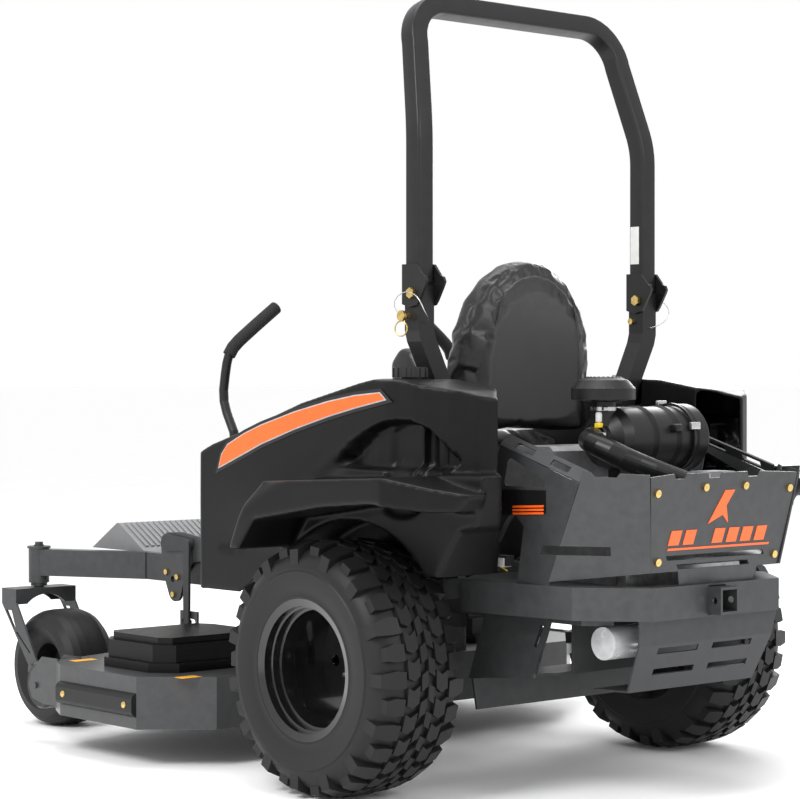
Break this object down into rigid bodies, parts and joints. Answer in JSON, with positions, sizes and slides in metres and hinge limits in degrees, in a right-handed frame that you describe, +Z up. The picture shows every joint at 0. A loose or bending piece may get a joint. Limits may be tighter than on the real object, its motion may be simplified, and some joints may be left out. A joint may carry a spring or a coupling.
{
  "type": "zero turn mower",
  "caption": "Riding mower with rear drive wheels, front swivel casters, side-discharge deck, folding roll bar, high-back seat and caged rear engine.",
  "frame": {"origin": "middle of the footprint, on the ground", "axes": "+X to the machine's left, +Y to its rear, +Z up; it drives towards -Y"},
  "size_m": [1.79, 2.289, 1.939],
  "materials": {
    "frame_paint": "satin",
    "black_paint": "satin",
    "floor_plate": "satin",
    "zinc": "satin",
    "muffler_steel": "satin",
    "filter_shell": "gloss",
    "engine_cast": "satin",
    "filter_plastic": "satin",
    "hose_rubber": "satin",
    "drive_cast": "satin",
    "case_plastic": "matte",
    "loom": "matte",
    "body_plastic": "satin",
    "vinyl": "satin",
    "seat_fabric": "matte",
    "wire_steel": "satin",
    "grip_foam": "matte",
    "key_metal": "satin",
    "knob_red": "gloss",
    "knob_black": "satin",
    "deck_paint": "satin",
    "rub_plastic": "satin",
    "spindle_cast": "satin",
    "spindle_steel": "satin",
    "belt": "matte",
    "link_steel": "satin",
    "tread": "matte",
    "rim_gloss": "gloss",
    "hub_pulley": "satin"
  },
  "bodies": {
    "chassis": {"main_frame": "frame_paint", "front_frame": "frame_paint", "rops_posts": "black_paint", "footrest": "floor_plate", "rear_bumper": "frame_paint", "left_guard": "frame_paint", "right_guard": "frame_paint", "rear_guard": "frame_paint", "frame_bolts": "zinc", "lower_shield": "frame_paint", "muffler": "muffler_steel", "oil_filter": "filter_shell", "engine": "engine_cast", "air_cleaner": "filter_plastic", "pre_cleaner": "filter_plastic", "intake_hose": "hose_rubber", "hydro_transaxles": "drive_cast", "battery": "case_plastic", "wiring_harness": "loom", "left_pod": "body_plastic", "right_pod": "body_plastic", "pin_lanyards": "wire_steel"},
    "seat_mount": {"seat_plate": "black_paint"},
    "seat": {"seat_cushion": "vinyl", "seat_back": "seat_fabric"},
    "rops": {"rops_hoop": "black_paint"},
    "left_lock": {"left_lock_pin": "zinc"},
    "right_lock": {"right_lock_pin": "zinc"},
    "left_base": {"left_lever_base": "frame_paint"},
    "left_steer": {"left_lever": "black_paint", "left_lever_grip": "grip_foam"},
    "right_base": {"right_lever_base": "frame_paint"},
    "right_steer": {"right_lever": "black_paint", "right_lever_grip": "grip_foam"},
    "key": {"ignition_key": "key_metal"},
    "pto": {"pto_knob": "knob_red"},
    "throttle": {"throttle_lever": "knob_black"},
    "tank_cap": {"fuel_cap": "knob_black"},
    "deck": {"deck_shell": "deck_paint", "belt_covers": "body_plastic", "rub_rail": "rub_plastic", "spindle_housings": "spindle_cast", "deck_belt": "belt"},
    "chute": {"discharge_chute": "rub_plastic"},
    "blade_left": {"left_spindle": "spindle_steel"},
    "blade_centre": {"centre_spindle": "spindle_steel"},
    "blade_right": {"right_spindle": "spindle_steel"},
    "clutch": {"clutch_pulley": "hub_pulley"},
    "scalp": {"scalp_wheels": "knob_black"},
    "front_lift": {"front_rockshaft": "link_steel"},
    "rear_lift": {"rear_rockshaft": "link_steel"},
    "links": {"lift_links": "link_steel"},
    "left_drive": {"left_rear_tyre": "tread", "left_rear_rim": "rim_gloss"},
    "right_drive": {"right_rear_tyre": "tread", "right_rear_rim": "rim_gloss"},
    "left_swivel": {"left_fork": "frame_paint"},
    "right_swivel": {"right_fork": "frame_paint"},
    "left_caster": {"left_caster_wheel": "tread"},
    "right_caster": {"right_caster_wheel": "tread"}
  },
  "joints": [
    {"name": "seat_tilt", "type": "hinge", "parent": "chassis", "child": "seat_mount", "pos_m": [0.145, -0.0695, 0.702], "axis": [1, 0, 0], "range_deg": [0, 40]},
    {"name": "seat_slide", "type": "slide", "parent": "seat_mount", "child": "seat", "axis": [0, 1, 0], "range_m": [-0.06, 0.04]},
    {"name": "rops_fold", "type": "hinge", "parent": "chassis", "child": "rops", "pos_m": [0.145, 0.5165, 1.194], "axis": [-1, 0, 0], "range_deg": [0, 105]},
    {"name": "left_pin_pull", "type": "slide", "parent": "chassis", "child": "left_lock", "axis": [1, 0, 0], "range_m": [0, 0.075]},
    {"name": "right_pin_pull", "type": "slide", "parent": "chassis", "child": "right_lock", "axis": [-1, 0, 0], "range_m": [0, 0.075]},
    {"name": "left_lever_stroke", "type": "hinge", "parent": "chassis", "child": "left_base", "pos_m": [0.55, -0.2105, 0.6], "axis": [1, 0, 0], "range_deg": [-12, 12]},
    {"name": "left_lever_swing", "type": "hinge", "parent": "left_base", "child": "left_steer", "pos_m": [0.55, -0.2105, 0.806], "axis": [0, 1, 0], "range_deg": [0, 20]},
    {"name": "right_lever_stroke", "type": "hinge", "parent": "chassis", "child": "right_base", "pos_m": [-0.26, -0.2105, 0.6], "axis": [1, 0, 0], "range_deg": [-12, 12]},
    {"name": "right_lever_swing", "type": "hinge", "parent": "right_base", "child": "right_steer", "pos_m": [-0.26, -0.2105, 0.806], "axis": [0, -1, 0], "range_deg": [0, 20]},
    {"name": "key_turn", "type": "hinge", "parent": "chassis", "child": "key", "pos_m": [-0.275, 0.3845, 0.95], "axis": [0, 0, 1], "range_deg": [0, 75]},
    {"name": "pto_pull", "type": "slide", "parent": "chassis", "child": "pto", "axis": [0, 0, 1], "range_m": [0, 0.012]},
    {"name": "throttle_turn", "type": "hinge", "parent": "chassis", "child": "throttle", "pos_m": [-0.305, 0.2945, 0.88], "axis": [1, 0, 0], "range_deg": [-20, 20]},
    {"name": "cap_turn", "type": "hinge", "parent": "chassis", "child": "tank_cap", "pos_m": [0.6, 0.5395, 0.99], "axis": [0, 0, 1], "continuous": true},
    {"name": "deck_lift", "type": "slide", "parent": "chassis", "child": "deck", "axis": [0, 0, 1], "range_m": [-0.055, 0.045]},
    {"name": "chute_lift", "type": "hinge", "parent": "deck", "child": "chute", "pos_m": [-0.71, -0.3855, 0.224], "axis": [0, 1, 0], "range_deg": [0, 75]},
    {"name": "clutch_spin", "type": "hinge", "parent": "chassis", "child": "clutch", "pos_m": [0.145, 0.7745, 0.45], "axis": [0, 0, 1], "continuous": true},
    {"name": "blade_left_spin", "type": "hinge", "parent": "deck", "child": "blade_left", "pos_m": [0.603, -0.3305, 0.2], "axis": [0, 0, 1], "continuous": true},
    {"name": "blade_centre_spin", "type": "hinge", "parent": "deck", "child": "blade_centre", "pos_m": [0.095, -0.5155, 0.2], "axis": [0, 0, 1], "continuous": true},
    {"name": "blade_right_spin", "type": "hinge", "parent": "deck", "child": "blade_right", "pos_m": [-0.413, -0.3305, 0.2], "axis": [0, 0, 1], "continuous": true},
    {"name": "scalp_spin", "type": "hinge", "parent": "deck", "child": "scalp", "pos_m": [0.145, -0.7235, 0.156], "axis": [1, 0, 0], "continuous": true},
    {"name": "front_lift_turn", "type": "hinge", "parent": "chassis", "child": "front_lift", "pos_m": [0.145, -0.6605, 0.53], "axis": [1, 0, 0], "range_deg": [-31, 25.5]},
    {"name": "rear_lift_turn", "type": "hinge", "parent": "chassis", "child": "rear_lift", "pos_m": [0.145, -0.2205, 0.53], "axis": [1, 0, 0], "range_deg": [-31, 25.5]},
    {"name": "link_swing", "type": "hinge", "parent": "front_lift", "child": "links", "pos_m": [0.145, -0.5555, 0.53], "axis": [1, 0, 0], "range_deg": [-25.5, 31]},
    {"name": "left_drive_spin", "type": "hinge", "parent": "chassis", "child": "left_drive", "pos_m": [0.728, 0.4445, 0.305], "axis": [1, 0, 0], "continuous": true},
    {"name": "left_caster_swivel", "type": "hinge", "parent": "chassis", "child": "left_swivel", "pos_m": [0.582, -1.1065, 0.44], "axis": [0, 0, 1], "continuous": true},
    {"name": "left_caster_spin", "type": "hinge", "parent": "left_swivel", "child": "left_caster", "pos_m": [0.582, -0.9745, 0.165], "axis": [1, 0, 0], "continuous": true},
    {"name": "right_drive_spin", "type": "hinge", "parent": "chassis", "child": "right_drive", "pos_m": [-0.438, 0.4445, 0.305], "axis": [1, 0, 0], "continuous": true},
    {"name": "right_caster_swivel", "type": "hinge", "parent": "chassis", "child": "right_swivel", "pos_m": [-0.292, -1.1065, 0.44], "axis": [0, 0, 1], "continuous": true},
    {"name": "right_caster_spin", "type": "hinge", "parent": "right_swivel", "child": "right_caster", "pos_m": [-0.292, -0.9745, 0.165], "axis": [1, 0, 0], "continuous": true}
  ],
  "couplings": [
    {"joint": "front_lift_turn", "follows": "deck_lift", "rad_per_m": 9.5238},
    {"joint": "rear_lift_turn", "follows": "deck_lift", "rad_per_m": 9.5238},
    {"joint": "link_swing", "follows": "deck_lift", "rad_per_m": -9.5238},
    {"joint": "blade_left_spin", "follows": "clutch_spin", "ratio": 1.08},
    {"joint": "blade_centre_spin", "follows": "clutch_spin", "ratio": 1.08},
    {"joint": "blade_right_spin", "follows": "clutch_spin", "ratio": 1.08}
  ]
}
